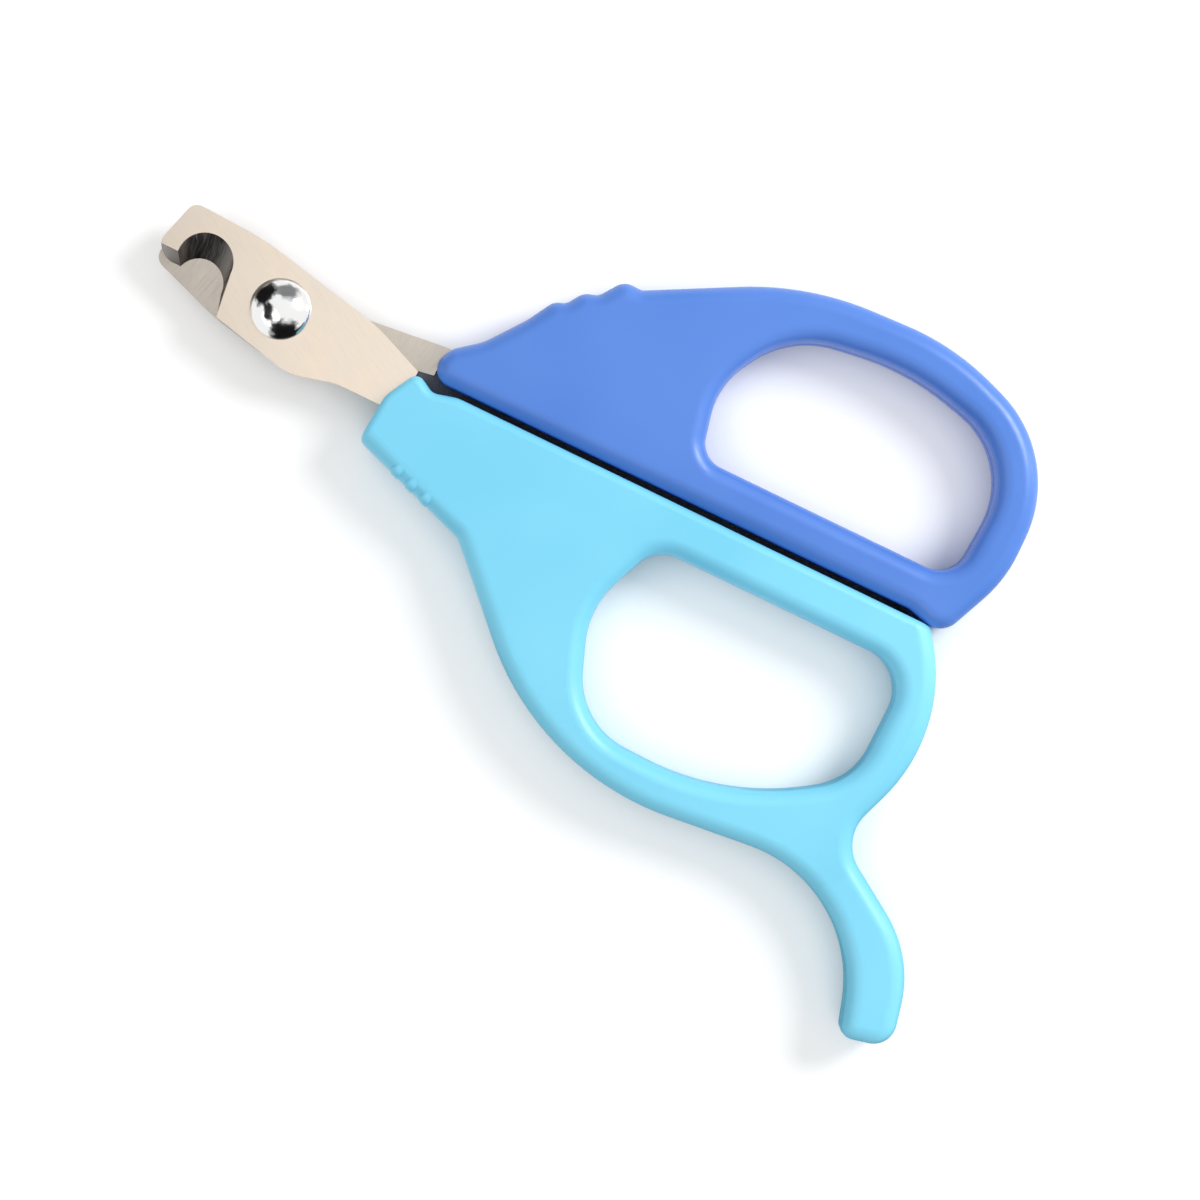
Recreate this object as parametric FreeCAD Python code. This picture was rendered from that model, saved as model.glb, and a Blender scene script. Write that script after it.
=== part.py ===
import FreeCAD, Part
import math
import os

V = FreeCAD.Vector

# Scissor-type pet nail clipper, lying flat on its back, closed.  Millimetres.
# X runs from the nose to the finger loops, Y across, Z up.  Outlines are written from the pivot
# axis, and place() moves every piece so that the origin is under the middle of the whole clipper.
# Outline corners are (x, y, rounding radius).

# ---- place of the pivot, and the levels of the stack ----
pivot_x = -46.7            # pivot axis, from the middle of the clipper
pivot_y = 9.6
handle_thick = 9.0         # thickness of both plastic handles
blade_thick = 2.0          # sheet that each blade is stamped from
blade_play = 0.05          # running gap between the two blades
shear_z = 0.5 * handle_thick

# ---- pivot rivet ----
shank_dia = 5.0
dome_dia = 8.1
dome_high = 1.9
washer_dia = 8.4
washer_thick = 0.8
tail_dia = 6.6             # peened end of the rivet
tail_high = 0.8
pivot_play = 0.05          # radial gap between the shank and each bore
washer_play = 0.05         # end float between the washer and the rear blade

# ---- heads of the blades, written for the front blade ----
nose_reach = 15.9          # pivot to the nose's outer corner
nose_out = 7.6             # height of that corner above the pivot
nose_slant = 2.4           # how far the nose leans forward towards its tip
nose_corner_r = 1.6
nose_tip_r = 2.2
spine_knee = (-5.5, 7.1)   # where the spine starts to slope
spine_r = 30.0
tip_level = -0.55          # underside of the nose at the cutting edge
tip_level_face = 1.0       # the same at the outer face, above the ground bevel
notch_r = 3.2              # half-round nail notch at the cutting edge
notch_x = -11.2
notch_y = -1.5
notch_r_face = 3.7         # the same at the outer face, above the ground bevel
notch_x_face = -11.4
notch_y_face = 1.3
heel = (-7.1, -4.3)        # foot of the notch's rear wall
heel_step = (2.0, 0.3)     # corner of the blank ahead of the heel, cut away with the notch
head_turn = 22.0           # how far the rear blade's head is set past the front one's, in degrees

# ---- bosses and necks of the blades ----
front_boss = (4.4, -7.1)   # low corner of the boss round the pivot
front_neck_under = (10.6, -5.5)
front_neck_over = (12.2, 3.4)
rear_boss = (1.6, -6.5)
rear_neck_under = (12.2, -3.2)
rear_neck_over = (9.4, 3.6)
rear_neck_end = 5.0        # height of the rear neck where it meets its handle
rear_neck_step = (18.6, 0.5)    # where its lower edge bends past the corner of the lower handle
rear_neck_low = 0.95       # its lower edge where it meets its handle
front_neck_end = 0.45      # height of the front neck where it meets its handle
neck_r = 8.0
front_neck_r = 20.0
shoulder_r = 0.2

# ---- tangs inside the handles ----
tang_inset = 0.2           # shoulders ahead of the corner of the handle's front end
rear_step = 1.35           # lower shoulder of the rear blade, behind that corner, at its rounding
tang_cover = 1.35          # plastic between a tang and the slot at the front end
tang_end_cover = 7.4       # plastic between the end of a tang and the loop
front_throat = -7.2        # low side of the front tang where it enters the handle
front_tang_low = -13.2
front_tang_high = -6.0
rear_flare = (27.6, 9.6)   # where the rear tang widens
rear_tang_low = 6.0
rear_tang_high = 14.0
tang_taper = 2.0           # slant of a tang's end
tang_end_r = 2.5
throat_r = 0.8
front_locks = [(27.5, -6.4), (37.0, -8.2)]   # holes that the plastic flows through
rear_locks = [(31.0, 7.0), (40.5, 8.8)]
lock_dia = 3.4
tang_fit = 0.04            # gap between a tang and its pocket

# ---- both handles ----
parting_gap = 0.9          # slot between the straight edges of the closed handles
stop_play = 0.05           # gap left at the closing stop
edge_r = 2.2               # rounding of the outer edges and of the finger loops
parting_r = 1.2            # rounding along the lower handle's straight edge
front_r = 1.0              # rounding round the lower handle's front end
loop_start = 52.2          # pivot to the near corner of the lower loop
loop_long = 40.5           # length of the finger loops
slot_bar = 6.1             # bar between the lower loop and the slot
upper_slot_bar = 5.75      # bar between the upper loop and the slot

# ---- upper handle ----
upper_loop_wide = 21.9
upper_loop_shift = 2.6     # how much further on the upper loop starts
upper_end_bar = 4.9        # from the loop's far corner to the handle's end
back_rise = 5.2            # from the top of the loop to the top corner of the handle's back
upper_front = 20.0         # front end at the slot
upper_front_lean = 2.1     # how far the front end leans back
upper_front_high = 4.9
upper_front_r = 2.25
flank_low = (25.4, 7.5)    # edge that climbs from the front end to the grip
flank_high = (29.2, 12.5)
flank_bend_r = 8.0
grip_front = (31.4, 15.4)  # line that the grip's waves lie along
grip_back = (40.7, 22.1)
grip_waves = [             # corners of the waves from the back: run along that line, height, radius
    (11.6, 0.1, 1.5),
    (9.65, 1.65, 2.25),
    (6.1, 0.42, 1.5),
    (4.13, 1.04, 2.25),
    (1.82, 0.15, 1.5),
    (0.25, 0.62, 2.25),
]
stop_long = 2.6            # closing stop, back from the loop's far corner
stop_ramp = 2.8            # slope that leads to the stop
stop_past = 0.8            # how far the stop runs past the loop's far corner
stop_bend_r = 3.0
stop_end_r = 3.0
front_top_r = 3.0

# ---- lower handle ----
lower_loop_wide = 25.5
lower_front = 19.6         # front end at the slot
front_lip = 0.3            # height of its corner, past the middle of the slot
front_dip = (22.4, -1.3)   # dip in the straight edge behind that corner
dip_r = 1.8
dip_end = 25.6             # where the dip runs out
dip_end_r = 5.0
lower_front_knee = (17.1, -4.2)
lower_front_low = (16.5, -10.8)
knee_bend_r = 4.0
shoulder = (33.3, -16.6)   # bend in the outer edge
shoulder_bend_r = 3.0
belly_drop = 6.9           # from the bottom of the loop to the corner of the belly
lower_end_bulge = 8.4      # from the loop's far side to the corner of the handle's end
rest_long = 18.7           # length of the finger rest
rest_wide = 6.6
rest_out = 6.9             # root of the finger rest, past the loop's far side
rest_rise = 2.1            # root of the finger rest, below the loop
rest_lean = 5.6            # how far its tip leans away
rest_bow = 4.0             # how far its outer side bows
rest_slant = 1.5           # how much higher the outer corner of its tip lies
rest_inner_r = 1.6         # corners of its tip
rest_outer_r = 3.0
crotch = (5.3, 4.2)        # from the root to the crotch between the rest and the loop
crotch_r = 5.5

# ---- grip ribs of the lower handle ----
rib_wide = 1.5
rib_stand = 0.15           # how far a rib stands out of the edge
rib_deep = 3.0             # how far it reaches into the handle
rib_inset = 0.05           # its ends below the handle's faces
rib_turn_r = 1.2           # where it turns over the rounded edge
rib_edge_r = 0.6           # rounding of its crest
rib_pitch = 2.53
rib_count = 3
rib_start = 6.3            # first rib from the end of its straight edge

# ---- derived places ----
slot_half = 0.5 * parting_gap
upper_side = slot_half + upper_slot_bar
lower_side = -slot_half - slot_bar
upper_start = loop_start + upper_loop_shift
loop_far = loop_start + loop_long
upper_far = loop_far + 1.3
upper_top = upper_side + upper_loop_wide
lower_bottom = lower_side - lower_loop_wide
front_end_top = (upper_front + upper_front_lean, upper_front_high)
front_tang_long = loop_start - tang_end_cover
rear_tang_long = upper_start - tang_end_cover
blade_low = shear_z + 0.5 * blade_play
blade_high = shear_z + blade_thick
washer_top = shear_z - blade_thick - washer_play
washer_foot = washer_top - washer_thick

far = 500.0                # longer than anything that is cut
clear = 1.5                # how far a cutter runs past what it cuts


# ---------------------------------------------------------------- outlines

def corner_points(corners, i):
    """Where the rounding of corner i starts, its middle, and where it ends."""
    x, y, r = corners[i]
    here = V(x, y, 0)
    before = corners[i - 1]
    after = corners[(i + 1) % len(corners)]
    back = (V(before[0], before[1], 0) - here).normalize()
    on = (V(after[0], after[1], 0) - here).normalize()
    if r <= 0:
        return here, None, here
    half = 0.5 * back.getAngle(on)
    run = r / math.tan(half)
    middle = here + (back + on).normalize() * (r / math.sin(half) - r)
    return here + back * run, middle, here + on * run


def rounded_wire(corners, z=0.0):
    """Closed outline of straight runs joined by tangent arcs."""
    lift = V(0, 0, z)
    spots = [corner_points(corners, i) for i in range(len(corners))]
    edges = []
    for i, (start, middle, end) in enumerate(spots):
        last = spots[i - 1][2]
        if (start - last).Length > 1e-6:
            edges.append(Part.LineSegment(last + lift, start + lift).toShape())
        if middle is not None:
            edges.append(Part.Arc(start + lift, middle + lift, end + lift).toShape())
    return Part.Wire(Part.__sortEdges__(edges))


def slab(corners, z_low, z_high):
    """Plate with a rounded outline between two levels."""
    face = Part.Face(rounded_wire(corners, z_low))
    return face.extrude(V(0, 0, z_high - z_low))


def upright(dia, z_low, z_high, x=0.0, y=0.0):
    return Part.makeCylinder(0.5 * dia, z_high - z_low, V(x, y, z_low))


def turned(x, y, degrees):
    a = math.radians(degrees)
    return x * math.cos(a) - y * math.sin(a), x * math.sin(a) + y * math.cos(a)


def flipped(shape):
    """Turned over about the X axis, on the shear plane."""
    return shape.rotate(V(0, 0, shear_z), V(1, 0, 0), 180)


def place(shape):
    shape.translate(V(pivot_x, pivot_y, 0))
    return shape


# ---------------------------------------------------------------- blades

def head_corners():
    """Spine and nose of the front blade, from the pivot side round to the heel."""
    return [
        (*spine_knee, spine_r),
        (-nose_reach, nose_out, nose_corner_r),
        (-nose_reach - nose_slant, tip_level, nose_tip_r),
        (notch_x, tip_level, 0.0),
        (heel[0] - heel_step[0], heel[1] + heel_step[1], 0.0),
    ]


def ground_away(share, z):
    """What is cut below the edge: share 0 at the shear plane, 1 at the outer face."""
    r = notch_r + share * (notch_r_face - notch_r)
    x = notch_x + share * (notch_x_face - notch_x)
    y = notch_y + share * (notch_y_face - notch_y)
    level = tip_level + share * (tip_level_face - tip_level)
    ahead = -far
    below = heel[1] - clear
    tip = V(x - math.sqrt(r * r - (level - y) ** 2), level, z)
    wall = V(x + r, y, z)
    corners = [V(heel[0] + heel_step[1], below, z), V(ahead, below, z), V(ahead, level, z), tip]
    arc = Part.Arc(tip, V(x, y + r, z), wall).toShape()
    sides = [Part.LineSegment(a, b).toShape() for a, b in zip(corners, corners[1:])]
    return Part.Wire([arc, Part.LineSegment(wall, corners[0]).toShape(), *sides])


def notch_cutter():
    """Nail notch with its ground bevel, a little taller than the blade."""
    over = 0.1
    tall = blade_high - blade_low
    low = ground_away(-over, blade_low - over * tall)
    high = ground_away(1 + over, blade_high + over * tall)
    return Part.makeLoft([low, high], True, True)


def front_outline():
    """Front blade without its notch, tang included."""
    entry = lower_front - tang_inset
    return [
        *head_corners(),
        (*front_boss, neck_r),
        (*front_neck_under, neck_r),
        (entry - 2 * throat_r, front_neck_under[1], throat_r),
        (entry - throat_r, front_throat, throat_r),
        (front_tang_long - tang_taper, front_tang_low, tang_end_r),
        (front_tang_long, front_tang_high, tang_end_r),
        (entry, -slot_half - tang_cover, shoulder_r),
        (entry, front_neck_end, shoulder_r),
        (*front_neck_over, front_neck_r),
    ]


def rear_outline():
    """Rear blade without its notch, as the front blade lies, so its tang is at negative Y here."""
    top_x, top_y = front_end_top
    head = [(*turned(x, y, head_turn), r) for x, y, r in head_corners()]
    return [
        *head,
        (rear_neck_over[0], -rear_neck_over[1], neck_r),
        (top_x - tang_inset, -rear_neck_end, shoulder_r),
        (top_x - tang_inset, -rear_neck_end + 5 * shoulder_r, shoulder_r),
        (rear_flare[0], -rear_flare[1], tang_end_r),
        (rear_tang_long - tang_taper, -rear_tang_high, tang_end_r),
        (rear_tang_long, -rear_tang_low, tang_end_r),
        (upper_front + rear_step, -slot_half - tang_cover, shoulder_r),
        (upper_front + rear_step, -rear_neck_low, shoulder_r),
        (rear_neck_step[0], -rear_neck_step[1], dip_r),
        (rear_neck_under[0], -rear_neck_under[1], neck_r),
        (rear_boss[0], -rear_boss[1], neck_r),
    ]


def lock_posts(spots, dia, side):
    return [upright(dia, -far, far, x, side * y) for x, y in spots]


def tang_pocket(outline, spots, side):
    """Room that the plastic leaves round a tang, with the plastic's posts in the locking holes."""
    face = Part.Face(rounded_wire(outline, blade_low - tang_fit)).makeOffset2D(tang_fit)
    room = face.extrude(V(0, 0, blade_high - blade_low + 2 * tang_fit))
    return room.cut(lock_posts(spots, lock_dia - 2 * tang_fit, side))


def pivot_bore():
    return upright(shank_dia + 2 * pivot_play, -far, far)


def front_blade():
    blade = slab(front_outline(), blade_low, blade_high)
    return blade.cut([notch_cutter(), pivot_bore(), *lock_posts(front_locks, lock_dia, 1)])


def rear_blade():
    blade = slab(rear_outline(), blade_low, blade_high)
    notch = notch_cutter()
    notch.rotate(V(0, 0, 0), V(0, 0, 1), head_turn)
    return flipped(blade.cut([notch, pivot_bore(), *lock_posts(rear_locks, lock_dia, -1)]))


# ---------------------------------------------------------------- pivot

def cap(dia, high):
    """Spherical cap standing on z = 0."""
    r = (0.25 * dia * dia + high * high) / (2 * high)
    ball = Part.makeSphere(r, V(0, 0, high - r))
    return ball.common(upright(2 * dia, 0, high))


def pivot_rivet():
    dome = cap(dome_dia, dome_high)
    dome.translate(V(0, 0, blade_high))
    tail = cap(tail_dia, tail_high)
    tail.rotate(V(0, 0, 0), V(1, 0, 0), 180)
    tail.translate(V(0, 0, washer_foot))
    shank = upright(shank_dia, washer_foot, blade_high)
    return shank.fuse([dome, tail]).removeSplitter()


def rivet_washer():
    return upright(washer_dia, washer_foot, washer_top).cut(pivot_bore())


# ---------------------------------------------------------------- handles

def grip_edge():
    """Corners of the grip's waves, from the back of the handle to its front."""
    start = V(*grip_front, 0)
    run = (V(*grip_back, 0) - start).normalize()
    out = V(-run.y, run.x, 0)
    spots = [start + run * along + out * high for along, high, _ in grip_waves]
    return [(spot.x, spot.y, wave[2]) for spot, wave in zip(spots, grip_waves)]


def upper_outline():
    touch = -slot_half + stop_play
    end = upper_far + upper_end_bar
    stop_end = upper_far + stop_past
    stop = stop_end - stop_long
    top = upper_top + back_rise
    return [
        (upper_front, slot_half, upper_front_r),
        (stop - stop_ramp, slot_half, stop_bend_r),
        (stop, touch, stop_bend_r),
        (stop_end, touch, stop_end_r),
        (end, upper_side + 0.13 * upper_loop_wide, 0.82 * upper_loop_wide),
        (end, upper_top - 0.07 * upper_loop_wide, 0.75 * min(upper_loop_wide, 0.54 * loop_long)),
        (upper_start + 0.62 * loop_long, top, 0.82 * loop_long),
        (upper_start + 0.12 * loop_long, top - 1.0, 0.99 * loop_long),
        *grip_edge(),
        (*flank_high, flank_bend_r),
        (*flank_low, flank_bend_r),
        (*front_end_top, front_top_r),
    ]


def upper_loop():
    wide = upper_loop_wide
    r = min(wide, 0.54 * loop_long)
    return [
        (upper_start + 0.1 * r, upper_side, 0.16 * r),
        (upper_far - 0.05 * r, upper_side, 0.19 * r),
        (upper_far, upper_side + 0.8 * wide, 0.51 * r),
        (upper_start + 0.53 * loop_long, upper_top, 0.83 * loop_long),
        (upper_start + 0.14 * loop_long, upper_top - 0.105 * wide, 0.58 * r),
        (upper_start, upper_side + 0.435 * wide, 0.47 * r),
    ]


def lower_outline():
    root_x = loop_far + rest_out
    root_y = lower_bottom - rest_rise
    tip_x = root_x + rest_lean
    return [
        (lower_front, front_lip, 0.0),
        (*lower_front_knee, knee_bend_r),
        (*lower_front_low, 0.0),
        (*shoulder, shoulder_bend_r),
        (loop_start + 0.08 * loop_long, lower_bottom - belly_drop, 0.91 * loop_long),
        (root_x, root_y, rest_long),
        (tip_x, root_y - rest_long, rest_inner_r),
        (tip_x + rest_wide, root_y - rest_long + rest_slant, rest_outer_r),
        (tip_x + rest_bow, root_y - 0.29 * rest_long, 0.83 * rest_long),
        (root_x - crotch[0], root_y + crotch[1], crotch_r),
        (loop_far + lower_end_bulge, lower_side - 0.2 * lower_loop_wide, 0.87 * lower_loop_wide),
        (loop_far + 0.1, -slot_half, 0.0),
        (dip_end, -slot_half, dip_end_r),
        (*front_dip, dip_r),
    ]


def lower_loop():
    wide = lower_loop_wide
    r = min(wide, 0.63 * loop_long)
    return [
        (loop_start + 0.18 * r, lower_side, 0.19 * r),
        (loop_start, lower_side - 0.42 * wide, 0.475 * r),
        (loop_start + 0.133 * loop_long, lower_bottom + 0.6, 0.4 * r),
        (loop_start + 0.65 * loop_long, lower_bottom, 0.86 * loop_long),
        (loop_far, lower_bottom + 0.372 * wide, 0.35 * r),
        (loop_far + 0.3, lower_side, 0.22 * r),
    ]


def along_faces(edge):
    """True for an edge that lies in the top or the bottom face."""
    ends = [v.Z for v in edge.Vertexes]
    return max(ends) < 0.01 or min(ends) > handle_thick - 0.01


def beside_slot(edge):
    at = edge.CenterOfMass
    return at.y > front_dip[1] and at.x < loop_far


def at_lower_front(edge):
    return edge.CenterOfMass.x < lower_front and not beside_slot(edge)


def all_round(edge):
    return not at_lower_front(edge) and not beside_slot(edge)


def softened(body, radius, wanted):
    return body.makeFillet(radius, [e for e in body.Edges if along_faces(e) and wanted(e)])


def grip_rib():
    """Ridge that follows the rounded edge: X stands out of the edge, Y is up, Z runs along it."""
    top = handle_thick - rib_inset
    corners = [
        (rib_stand, rib_inset, rib_turn_r),
        (rib_stand, top, rib_turn_r),
        (-rib_deep, top, 0),
        (-rib_deep, rib_inset, 0),
    ]
    rib = slab(corners, -0.5 * rib_wide, 0.5 * rib_wide)
    ends = [e for e in rib.Edges if e.BoundBox.XMax > 0 and e.BoundBox.ZLength < 0.01]
    return rib.makeFillet(rib_edge_r, ends)


def ribs_along(start, end, first):
    """Ribs along a straight edge that has the handle on its left, the first so far from its start."""
    run = (V(*end, 0) - V(*start, 0)).normalize()
    turn = FreeCAD.Rotation(V(run.y, -run.x, 0), V(0, 0, 1), run, "XYZ")
    ribs = []
    for i in range(rib_count):
        rib = grip_rib()
        rib.Placement = FreeCAD.Placement(V(*start, 0) + run * (first + rib_pitch * i), turn)
        ribs.append(rib)
    return ribs


def looped_plate(outline, loop):
    return slab(outline, 0, handle_thick).cut(slab(loop, -1, handle_thick + 1))


def lower_handle():
    body = looped_plate(lower_outline(), lower_loop())
    body = softened(body, edge_r, all_round)
    body = softened(body, front_r, at_lower_front)
    body = softened(body, parting_r, beside_slot)
    body = body.fuse(ribs_along(lower_front_low, shoulder, rib_start))
    return body.cut(tang_pocket(front_outline(), front_locks, 1))


def upper_handle():
    body = looped_plate(upper_outline(), upper_loop())
    body = softened(body, edge_r, lambda edge: True)
    return body.cut(flipped(tang_pocket(rear_outline(), rear_locks, -1)))


pieces = {
    "front_blade": front_blade,
    "rear_blade": rear_blade,
    "pivot_rivet": pivot_rivet,
    "rivet_washer": rivet_washer,
    "lower_handle": lower_handle,
    "upper_handle": upper_handle,
}

os.makedirs("parts", exist_ok=True)
for name, build in pieces.items():
    place(build()).exportStep("parts/" + name + ".step")
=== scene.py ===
import math
import bpy
from mathutils import Euler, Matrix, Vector


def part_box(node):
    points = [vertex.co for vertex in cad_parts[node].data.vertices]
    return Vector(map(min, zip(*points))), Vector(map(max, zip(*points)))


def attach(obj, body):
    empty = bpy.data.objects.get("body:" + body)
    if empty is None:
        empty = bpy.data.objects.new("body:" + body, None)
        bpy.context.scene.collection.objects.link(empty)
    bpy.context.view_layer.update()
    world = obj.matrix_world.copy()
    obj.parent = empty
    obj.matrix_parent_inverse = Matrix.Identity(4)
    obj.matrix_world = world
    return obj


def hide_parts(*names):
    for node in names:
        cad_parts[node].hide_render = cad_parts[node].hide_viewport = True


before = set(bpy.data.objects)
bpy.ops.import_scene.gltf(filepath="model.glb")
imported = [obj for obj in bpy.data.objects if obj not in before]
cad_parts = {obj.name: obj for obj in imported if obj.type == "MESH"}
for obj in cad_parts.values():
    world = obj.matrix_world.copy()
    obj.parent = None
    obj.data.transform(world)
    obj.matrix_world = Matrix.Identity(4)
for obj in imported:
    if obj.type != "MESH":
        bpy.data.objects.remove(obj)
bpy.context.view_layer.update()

MM = 0.001

# The clipper lies on its back.  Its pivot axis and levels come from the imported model.
dome_low, dome_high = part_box("pivot_rivet")
PIVOT = Vector(((dome_low.x + dome_high.x) / 2, (dome_low.y + dome_high.y) / 2, 0))
BLADE_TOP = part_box("front_blade")[1].z
WASHER_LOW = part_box("rivet_washer")[0].z
HANDLE_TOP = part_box("lower_handle")[1].z

# The clipper is looked at from straight above, turned like this.
RIGHT = Vector((0.90052, 0.43482, 0))     # across the view
UP = Vector((-0.43482, 0.90052, 0))
FACING = math.atan2(RIGHT.y, RIGHT.x)

# Blades: the middle of each nail notch, and what counts as its ground face.
FRONT_NOTCH = PIVOT + Vector((-11.3, 0, 0)) * MM
REAR_NOTCH = PIVOT + Vector((-10.5, 4.2, 0)) * MM
NOTCH_REACH = 8.5 * MM
GROUND_SLOPE = (0.25, 0.93)               # a ground face's normal rises by this much
BLADE_EDGE = 0.18 * MM                    # broken edge

# Rivet and washer.
DOME_INSET = 0.05 * MM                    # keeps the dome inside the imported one
TAIL_RADIUS = 3.3 * MM
SHANK_RADIUS = 2.5 * MM
CAP_EDGE = 0.10 * MM
CAP_RINGS = 56                            # leaves more than a CAP_EDGE between a cap's foot and its next ring
ON_LEVEL = 0.0001 * MM                    # only points this near a cut count as on it
WASHER_EDGE = 0.12 * MM

# Handles.
BEAD_HALF = 0.12 * MM                     # half the width of the parting line
BEAD_STAND = 0.07 * MM                    # how far it stands out
BEAD_CLEAR = 1.5 * MM                     # none this near the line through the pivot
PIN_RADIUS = 1.6 * MM
PIN_DEEP = 0.15 * MM
SLIVER = 0.002 * MM                       # points this near are one point

# Stage.
AIM = Vector((6.5, -6.2, 4.5)) * MM       # what the camera and the lamps look at
WIDE = 154.8 * MM                         # width of the view at the clipper
AWAY = 400 * MM                           # camera to the clipper
SENSOR = 36                               # width of the camera's sensor
FLOOR_LEVEL = -0.05 * MM
SHADE_REACH = 9 * MM                      # how far up the floor looks for something that hides the sky
ROOM_LIGHT = 0.62


# ---------------------------------------------------------------- materials

class Finish:
    """A material made of plain node calls."""

    def __init__(self, name):
        self.material = bpy.data.materials.new(name)
        self.material.use_nodes = True
        self.nodes = self.material.node_tree.nodes
        self.links = self.material.node_tree.links
        self.shader = self.nodes["Principled BSDF"]
        self.place = self.nodes.new("ShaderNodeTexCoord").outputs["Object"]

    def add(self, kind, values=None, **inputs):
        """A node, with its own settings and then its inputs by name."""
        node = self.nodes.new(kind)
        for key, value in (values or {}).items():
            setattr(node, key, value)
        for key, value in inputs.items():
            self.feed(node.inputs[key.replace("_", " ")], value)
        return node

    def feed(self, socket, value):
        if isinstance(value, bpy.types.NodeSocket):
            self.links.new(value, socket)
        else:
            socket.default_value = value

    def set(self, **inputs):
        for key, value in inputs.items():
            self.feed(self.shader.inputs[key.replace("_", " ")], value)

    def combine(self, operation, first, second):
        node = self.add("ShaderNodeMath", {"operation": operation})
        self.feed(node.inputs[0], first)
        self.feed(node.inputs[1], second)
        return node.outputs[0]

    def mapped(self, size=(1, 1, 1), turn=0.0, shift=(0, 0, 0)):
        """Object coordinates turned about Z, then scaled."""
        turned = self.add("ShaderNodeMapping", Vector=self.place, Location=shift, Rotation=(0, 0, turn))
        return self.add("ShaderNodeMapping", Vector=turned.outputs[0], Scale=size).outputs[0]

    def noise(self, scale, where=None, detail=3.0, rough=0.5):
        node = self.add("ShaderNodeTexNoise", Vector=where or self.place, Scale=scale,
                        Detail=detail, Roughness=rough)
        return node.outputs["Fac"]

    def ramp(self, value, low, high, start=0.0, end=1.0):
        """Turns a value that runs from start to end into one that runs from low to high."""
        node = self.add("ShaderNodeMapRange", Value=value, From_Min=start, From_Max=end,
                        To_Min=low, To_Max=high)
        return node.outputs[0]

    def tint(self, value, first, second):
        """Goes from the first colour to the second as the value goes from 0 to 1."""
        node = self.add("ShaderNodeMix", {"data_type": "RGBA"})
        share, colour_a, colour_b = (node.inputs[i] for i in (0, 6, 7))
        self.feed(share, value)
        self.feed(colour_a, first)
        self.feed(colour_b, second)
        return node.outputs[2]

    def bump(self, height, strength, distance, under=None):
        node = self.add("ShaderNodeBump", Height=height, Strength=strength, Distance=distance)
        if under is not None:
            self.feed(node.inputs["Normal"], under)
        return node.outputs[0]


def moulded_plastic(name, deep, pale, gloss):
    """Self-coloured moulding: slow drift of tone, fine orange peel, a few handling marks."""
    f = Finish(name)
    drift = f.ramp(f.noise(38, detail=2), 0, 1, start=0.35, end=0.65)
    peel = f.bump(f.noise(2600, detail=2), strength=0.12, distance=0.00006)
    grain = f.noise(14000, detail=1)
    marks = f.noise(900, f.mapped(size=(1, 9, 1), turn=0.45), detail=4)
    f.set(
        Base_Color=f.tint(drift, deep, pale),
        Roughness=f.ramp(marks, gloss - 0.05, gloss + 0.09, start=0.35, end=0.75),
        Normal=f.bump(grain, strength=0.10, distance=0.00002, under=peel),
        IOR=1.5,
    )
    return f.material


def ground_steel(name, warm, cool, turn, rough, scratch, streak):
    """Stamped strip, belt ground in one direction."""
    f = Finish(name)
    lines = f.noise(1.0, f.mapped(size=(260, 9000, 900), turn=turn), detail=5, rough=0.7)
    deep_lines = f.noise(1.0, f.mapped(size=(90, 2600, 400), turn=turn + 0.02), detail=2)
    cloud = f.noise(160, detail=4, rough=0.6)
    speck = f.noise(2100, detail=3)
    tone = f.tint(f.ramp(cloud, 0, 1, start=0.3, end=0.7), warm, cool)
    worn = tuple(0.72 * c for c in warm[:3]) + (1,)
    line_bump = f.bump(lines, scratch, distance=0.00002)
    speck_bump = f.bump(speck, 0.5 * scratch, distance=0.00002, under=line_bump)
    f.set(
        Base_Color=f.tint(f.ramp(lines, 0, streak, start=0.52, end=0.72), tone, worn),
        Metallic=1.0,
        Roughness=f.ramp(lines, rough - 0.07, rough + 0.10, start=0.3, end=0.7),
        Normal=f.bump(deep_lines, scratch, distance=0.00003, under=speck_bump),
    )
    return f.material


def ground_edge_painted_dark(name):
    """Cutting bevel, ground across, with painted shade: near-black colour on its sloping faces, paler towards
    the tip and the heel.
    """
    f = Finish(name)
    lines = f.noise(1.0, f.mapped(size=(5200, 500, 500)), detail=4)
    along = f.add("ShaderNodeSeparateXYZ", Vector=f.place).outputs["X"]
    nose, tip, root, heel = (PIVOT.x - ahead * MM for ahead in (17, 12.5, 10.5, 7.5))
    pale_tip = f.ramp(along, 1.0, 0.0, start=nose, end=tip)
    pale_heel = f.ramp(along, 0.0, 1.0, start=root, end=heel)
    pale = f.combine("MAXIMUM", pale_tip, pale_heel)
    # Painted shade: the bevel's steel gets a near-black colour for the shade on its sloping faces, with less
    # of it near the tip and the heel.
    base = f.tint(pale, (0.018, 0.017, 0.016, 1), (0.30, 0.28, 0.26, 1))
    f.set(
        Base_Color=f.tint(f.ramp(lines, 0, 0.35, start=0.4, end=0.7), base, (0.22, 0.20, 0.19, 1)),
        Metallic=1.0,
        Roughness=f.ramp(lines, 0.30, 0.50, start=0.3, end=0.7),
        Normal=f.bump(lines, strength=0.3, distance=0.00002),
    )
    return f.material


def polished_chrome(name):
    """Bright plating with faint haze, on a head that is not quite smooth."""
    f = Finish(name)
    haze = f.noise(1500, detail=4)
    f.set(
        Base_Color=f.tint(f.noise(700), (0.86, 0.86, 0.85, 1), (0.93, 0.93, 0.93, 1)),
        Metallic=1.0,
        Roughness=f.ramp(haze, 0.08, 0.16, start=0.35, end=0.75),
        Normal=f.bump(f.noise(420, detail=3), strength=0.35, distance=0.00012),
    )
    return f.material


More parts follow.
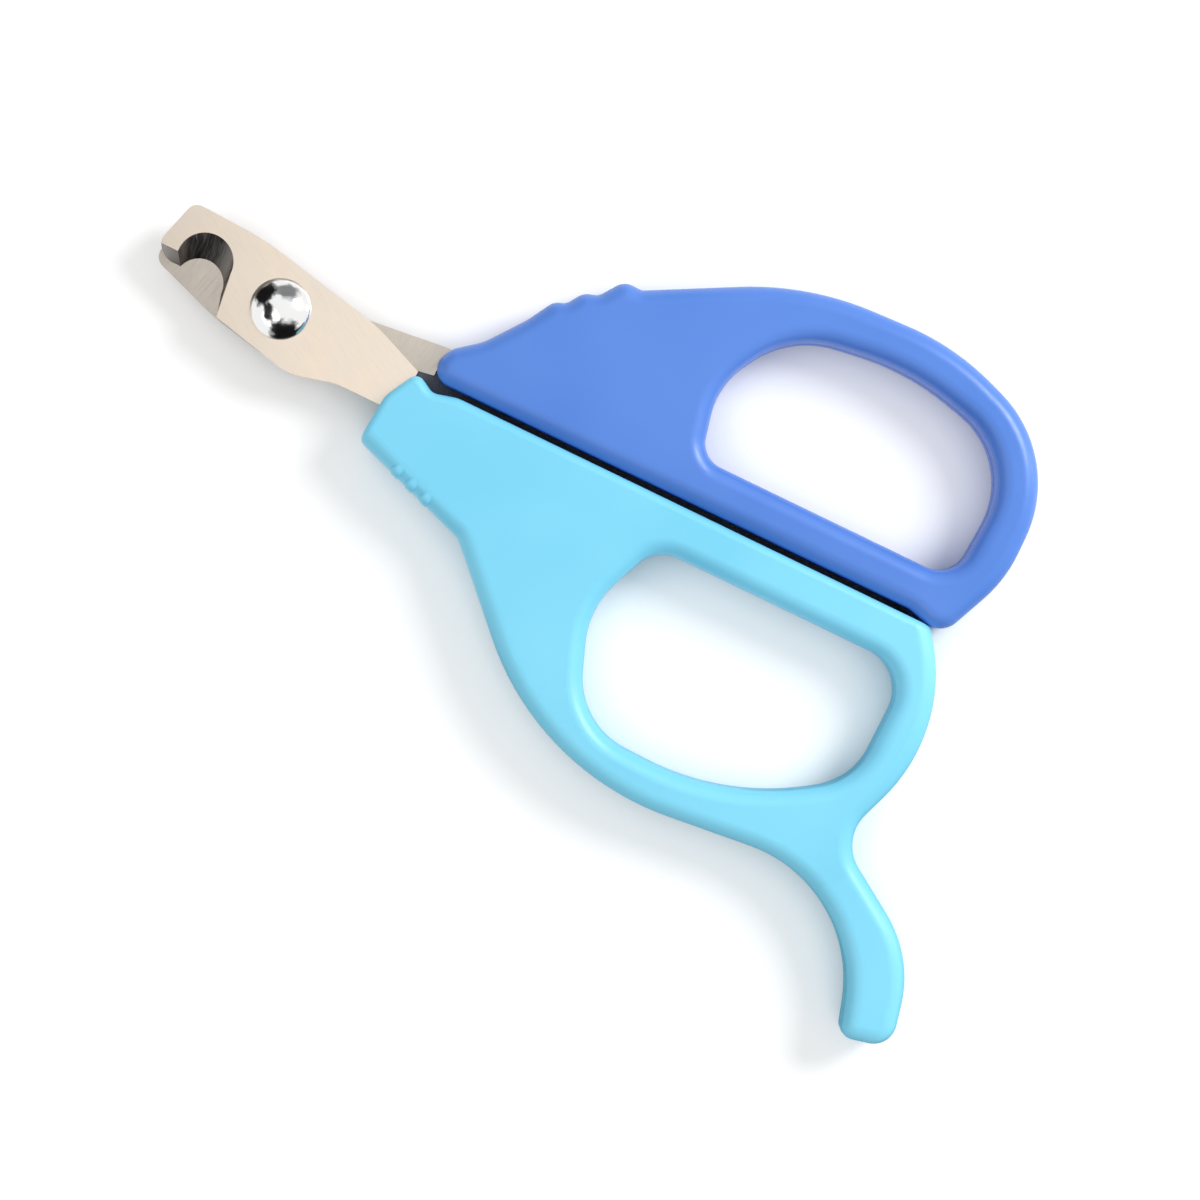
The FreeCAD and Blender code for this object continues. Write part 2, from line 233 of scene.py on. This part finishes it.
sky_plastic = moulded_plastic("sky_plastic", deep=(0.185, 0.63, 0.86, 1), pale=(0.225, 0.69, 0.91, 1),
                              gloss=0.36)
blue_plastic = moulded_plastic("blue_plastic", deep=(0.068, 0.200, 0.64, 1), pale=(0.092, 0.235, 0.70, 1),
                               gloss=0.34)
front_steel = ground_steel("front_steel", warm=(0.875, 0.745, 0.615, 1), cool=(0.82, 0.74, 0.645, 1),
                           turn=0.5, rough=0.38, scratch=0.35, streak=0.30)
# Painted shade: the rear blade is the same steel as the front one, given darker colours for the shade it lies
# in under the front blade; its heavier scratches and streaks are grain.
shaded_rear_steel = ground_steel("shaded_rear_steel", warm=(0.63, 0.57, 0.50, 1), cool=(0.54, 0.495, 0.44, 1),
                          turn=-FACING - 0.87, rough=0.34, scratch=0.6, streak=0.9)
ground_edge = ground_edge_painted_dark("ground_edge")
chrome = polished_chrome("chrome")


# ---------------------------------------------------------------- hand work

def take(thing):
    """Makes this the one thing that operators work on."""
    for other in bpy.context.selected_objects:
        other.select_set(False)
    thing.select_set(True)
    bpy.context.view_layer.objects.active = thing


def editing(thing):
    take(thing)
    bpy.ops.object.mode_set(mode="EDIT")


def done():
    bpy.ops.object.mode_set(mode="OBJECT")


def choose_faces(thing, accepts):
    """In edit mode, selects only the faces whose centre and normal a test accepts."""
    bpy.ops.mesh.select_mode(type="FACE")
    bpy.ops.mesh.select_all(action="DESELECT")
    bpy.ops.object.mode_set(mode="OBJECT")
    for face in thing.data.polygons:
        face.select = accepts(face.center, face.normal)
    bpy.ops.object.mode_set(mode="EDIT")


def choose_points(thing, accepts):
    """In edit mode, selects only the points whose place a test accepts."""
    bpy.ops.mesh.select_mode(type="VERT")
    bpy.ops.mesh.select_all(action="DESELECT")
    bpy.ops.object.mode_set(mode="OBJECT")
    for point in thing.data.vertices:
        point.select = accepts(point.co)
    bpy.ops.object.mode_set(mode="EDIT")


def settle(thing, name, smooth=30):
    """Names a finished piece, puts its place in its mesh, and shades it so that flat faces look flat."""
    take(thing)
    bpy.ops.object.transform_apply(location=True, rotation=True, scale=True)
    thing.name = name
    thing.data.name = name
    bpy.ops.object.shade_smooth_by_angle(angle=math.radians(smooth))
    weigh = thing.modifiers.new("weigh", "WEIGHTED_NORMAL")
    weigh.weight = 100
    weigh.keep_sharp = True
    bpy.ops.object.modifier_apply(modifier=weigh.name)


def bevelled(thing, width, segments=2, angle=35):
    """Breaks the sharp edges."""
    take(thing)
    bevel = thing.modifiers.new("broken edges", "BEVEL")
    bevel.width = width
    bevel.segments = segments
    bevel.limit_method = "ANGLE"
    bevel.angle_limit = math.radians(angle)
    bevel.miter_outer = "MITER_ARC"
    bpy.ops.object.modifier_apply(modifier=bevel.name)


def sound_copy(node, name):
    """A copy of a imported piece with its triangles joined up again."""
    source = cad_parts[node]
    thing = bpy.data.objects.new(name, source.data.copy())
    bpy.context.scene.collection.objects.link(thing)
    editing(thing)
    bpy.ops.mesh.customdata_custom_splitnormals_clear()
    bpy.ops.mesh.select_all(action="SELECT")
    bpy.ops.mesh.remove_doubles(threshold=0.0005 * MM)
    bpy.ops.mesh.dissolve_limited(angle_limit=math.radians(0.3))
    done()
    return thing


def dress(thing, *materials):
    thing.data.materials.clear()
    for material in materials:
        thing.data.materials.append(material)


# ---------------------------------------------------------------- blades

def at_notch(at, way, nose, outside):
    """True on the sloping ground faces round the nail notch."""
    near = (Vector((at.x, at.y, 0)) - nose).length < NOTCH_REACH
    return near and GROUND_SLOPE[0] < way.z * outside < GROUND_SLOPE[1]


def blade(node, name, steel, nose, outside):
    """Stamped blade with broken edges, and painted shade on the ground bevel in its notch."""
    thing = sound_copy(node, name)
    bevelled(thing, BLADE_EDGE)
    dress(thing, steel, ground_edge)
    editing(thing)
    choose_faces(thing, lambda at, way: at_notch(at, way, nose, outside))
    thing.active_material_index = 1
    bpy.ops.object.material_slot_assign()
    done()
    settle(thing, name)
    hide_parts(node)
    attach(thing, "lower_half" if node == "front_blade" else "upper_half")


blade("front_blade", "front_blade_ground", front_steel, FRONT_NOTCH, outside=1)
blade("rear_blade", "rear_blade_ground", shaded_rear_steel, REAR_NOTCH, outside=-1)


# ---------------------------------------------------------------- rivet

def round_cap(radius, high, base, side):
    """Polished cap on a level, standing up for side 1 and hanging down for side -1."""
    ball = (radius * radius + high * high) / (2 * high)
    middle = PIVOT + Vector((0, 0, base - side * (ball - high)))
    bpy.ops.mesh.primitive_uv_sphere_add(segments=96, ring_count=CAP_RINGS, radius=ball, location=middle)
    thing = bpy.context.object
    bpy.ops.object.transform_apply(location=True)
    bpy.ops.object.mode_set(mode="EDIT")
    bpy.ops.mesh.select_all(action="SELECT")
    foot = PIVOT + Vector((0, 0, base))
    bpy.ops.mesh.bisect(plane_co=foot, plane_no=(0, 0, side), clear_inner=True, use_fill=True,
                        threshold=ON_LEVEL)
    done()
    bevelled(thing, CAP_EDGE, segments=3, angle=25)
    return thing


rivet = round_cap((dome_high.x - dome_low.x) / 2 - DOME_INSET, dome_high.z - BLADE_TOP, BLADE_TOP, side=1)
tail = round_cap(TAIL_RADIUS, WASHER_LOW - dome_low.z, WASHER_LOW, side=-1)
bpy.ops.mesh.primitive_cylinder_add(vertices=64, radius=SHANK_RADIUS, depth=BLADE_TOP - WASHER_LOW,
                                    location=PIVOT + Vector((0, 0, (BLADE_TOP + WASHER_LOW) / 2)))
shank = bpy.context.object
take(rivet)
for part in (tail, shank):
    part.select_set(True)
bpy.ops.object.join()
dress(rivet, chrome)
settle(rivet, "rivet")
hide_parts("pivot_rivet")
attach(rivet, "lower_half")

washer = sound_copy("rivet_washer", "washer_turned")
bevelled(washer, WASHER_EDGE)
dress(washer, chrome)
settle(washer, "washer_turned")
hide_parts("rivet_washer")
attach(washer, "lower_half")


# ---------------------------------------------------------------- handles

def parting_bead(thing):
    """Fine line round the walls where the two halves of the mould met."""
    middle = HANDLE_TOP / 2
    editing(thing)
    for rise in (-BEAD_HALF, 0.0, BEAD_HALF):
        bpy.ops.mesh.select_all(action="SELECT")
        bpy.ops.mesh.bisect(plane_co=(0, 0, middle + rise), plane_no=(0, 0, 1))
    choose_points(thing, lambda at: abs(at.z - middle) < 0.01 * MM and abs(at.y - PIVOT.y) > BEAD_CLEAR)
    bpy.ops.transform.shrink_fatten(value=BEAD_STAND)
    done()


def pin_marks(thing, spots):
    """Shallow round prints of the mould's ejector pins in the face that lies down."""
    for x, y in spots:
        bpy.ops.mesh.primitive_cylinder_add(vertices=48, radius=PIN_RADIUS, depth=2 * PIN_DEEP,
                                            location=(x * MM, y * MM, 0))
        pin = bpy.context.object
        take(thing)
        cut = thing.modifiers.new("pin", "BOOLEAN")
        cut.operation = "DIFFERENCE"
        cut.object = pin
        bpy.ops.object.modifier_apply(modifier=cut.name)
        bpy.data.objects.remove(pin)
    editing(thing)
    bpy.ops.mesh.select_all(action="SELECT")
    bpy.ops.mesh.remove_doubles(threshold=SLIVER)
    done()


def handle(node, name, plastic, body, pins):
    """Moulded handle with its parting line, and pin marks at these places in millimetres."""
    thing = sound_copy(node, name)
    parting_bead(thing)
    pin_marks(thing, pins)
    dress(thing, plastic)
    settle(thing, name, smooth=35)
    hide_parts(node)
    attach(thing, body)


handle("lower_handle", "lower_handle_moulded", sky_plastic, "lower_half",
       pins=((-20, -1), (2, -10), (49, -12), (30, -23)))
handle("upper_handle", "upper_handle_moulded", blue_plastic, "upper_half",
       pins=((-14, 15), (4, 24), (49, 24), (30, 38)))


# ---------------------------------------------------------------- camera and lamps

camera = bpy.data.objects.new("camera", bpy.data.cameras.new("camera"))
bpy.context.scene.collection.objects.link(camera)
camera.location = AIM + Vector((0, 0, AWAY))
camera.rotation_euler = Euler((0, 0, FACING))
camera.data.sensor_width = SENSOR
camera.data.lens = SENSOR * AWAY / WIDE
camera.data.clip_start = 0.01
bpy.context.scene.camera = camera


def lamp(name, right, up, high, size, power):
    """Round soft lamp that looks at the aim, placed in metres from it."""
    data = bpy.data.lights.new(name, "AREA")
    data.shape = "DISK"
    data.size = size
    data.energy = power
    thing = bpy.data.objects.new(name, data)
    bpy.context.scene.collection.objects.link(thing)
    thing.location = AIM + RIGHT * right + UP * up + Vector((0, 0, high))
    thing.rotation_euler = (AIM - thing.location).to_track_quat("-Z", "Y").to_euler()


lamp("key", right=0.34, up=0.18, high=0.30, size=0.22, power=1.58)
lamp("fill", right=-0.30, up=-0.15, high=0.40, size=0.5, power=0.35)
lamp("rim", right=0.50, up=0.10, high=0.09, size=0.10, power=0.15)


# ---------------------------------------------------------------- cards that the polished head mirrors

def ragged_card(name, shade, seed):
    """Dull finish that thins out unevenly towards the card's rim."""
    f = Finish(name)
    f.set(Base_Color=(shade, shade, shade, 1), Roughness=1.0, Specular_IOR_Level=0.0)
    ball = f.add("ShaderNodeTexGradient", {"gradient_type": "SPHERICAL"}, Vector=f.place).outputs["Fac"]
    uneven = f.ramp(f.noise(1.7, f.mapped(shift=seed), detail=4), -0.28, 0.28, start=0.3, end=0.7)
    f.set(Alpha=f.ramp(f.combine("ADD", ball, uneven), 0.0, 1.0, start=0.06, end=0.44))
    return f.material


def card(name, around, above, away, wide, high, shade, flat=False):
    """Uneven card that only reflections see.

    Seen from the rivet it lies this many degrees round from the view's right and above the floor.
    Its distance and half sizes are in millimetres."""
    bearing, climb = math.radians(around), math.radians(above)
    way = RIGHT * (math.cos(bearing) * math.cos(climb)) + UP * (math.sin(bearing) * math.cos(climb))
    spot = PIVOT + (way + Vector((0, 0, math.sin(climb)))) * away * MM
    bpy.ops.mesh.primitive_circle_add(vertices=64, radius=1, fill_type="NGON")
    thing = bpy.context.object
    thing.name = name
    thing.scale = (wide * MM, high * MM, 1)
    thing.location = spot
    if flat:
        thing.rotation_euler = (0, 0, FACING + bearing + math.pi / 2)
    else:
        thing.rotation_euler = (PIVOT - spot).to_track_quat("Z", "Y").to_euler()
    dress(thing, ragged_card(name, shade, seed=(around, above, 0)))
    for kind in ("camera", "diffuse", "shadow", "transmission", "volume_scatter"):
        setattr(thing, "visible_" + kind, False)


card("card_below", around=-84, above=28, away=80, wide=82, high=66, shade=0.01)
card("card_horizon", around=-68, above=4, away=95, wide=130, high=34, shade=0.01)
card("card_floor", around=-70, above=0, away=105, wide=110, high=70, shade=0.01, flat=True)
card("card_left", around=136, above=26, away=80, wide=58, high=58, shade=0.01)
card("card_link", around=190, above=54, away=80, wide=50, high=26, shade=0.02)
card("card_above", around=72, above=34, away=80, wide=60, high=44, shade=0.30)


# ---------------------------------------------------------------- floor and room

def floor_finish():
    """Looks white in the open, keeps the clipper's shadow, and has painted navy shade deep in the slot."""
    f = Finish("floor")
    f.set(Roughness=0.9, Specular_IOR_Level=0.0)
    ray = f.add("ShaderNodeLightPath").outputs
    seen = f.combine("MAXIMUM", ray["Is Camera Ray"], ray["Is Glossy Ray"])
    open_sky = f.add("ShaderNodeAmbientOcclusion", Distance=SHADE_REACH).outputs["AO"]
    # Painted shade: ambient occlusion dims the floor's glow where the handles close over it, and turns its
    # colour and glow navy black deep in the slot.
    glow = f.combine("MULTIPLY", seen, f.ramp(open_sky, 0.0, 1.0, start=0.25, end=0.7))
    depth = f.ramp(open_sky, 0.0, 1.0, start=0.02, end=0.30)
    f.set(
        Base_Color=f.tint(depth, (0.0, 0.01, 0.06, 1), (0.86, 0.86, 0.86, 1)),
        Emission_Color=f.tint(depth, (0.0, 0.02, 0.30, 1), (1, 1, 1, 1)),
        Emission_Strength=f.ramp(glow, 0.0, 0.25),
    )
    mixed = f.add("ShaderNodeMixShader")
    f.feed(mixed.inputs[0], f.add("ShaderNodeNewGeometry").outputs["Backfacing"])
    f.feed(mixed.inputs[1], f.shader.outputs[0])
    f.feed(mixed.inputs[2], f.add("ShaderNodeBsdfTransparent").outputs[0])
    f.feed(f.nodes["Material Output"].inputs["Surface"], mixed.outputs[0])
    return f.material


bpy.ops.mesh.primitive_plane_add(size=6, location=(0, 0, FLOOR_LEVEL))
floor = bpy.context.object
floor.name = "floor"
dress(floor, floor_finish())

# The room lights the clipper at ROOM_LIGHT, but looks plain white itself and in reflections.
world = bpy.data.worlds.new("studio")
bpy.context.scene.world = world
world.use_nodes = True
air = world.node_tree
path = air.nodes.new("ShaderNodeLightPath")
shown = air.nodes.new("ShaderNodeMath")
shown.operation = "MAXIMUM"
air.links.new(path.outputs["Is Camera Ray"], shown.inputs[0])
air.links.new(path.outputs["Is Glossy Ray"], shown.inputs[1])
level = air.nodes.new("ShaderNodeMapRange")
level.inputs["To Min"].default_value = ROOM_LIGHT
level.inputs["To Max"].default_value = 1.0
air.links.new(shown.outputs[0], level.inputs["Value"])
air.links.new(level.outputs[0], air.nodes["Background"].inputs["Strength"])
air.nodes["Background"].inputs["Color"].default_value = (1, 1, 1, 1)

bpy.context.scene.view_settings.view_transform = "Standard"
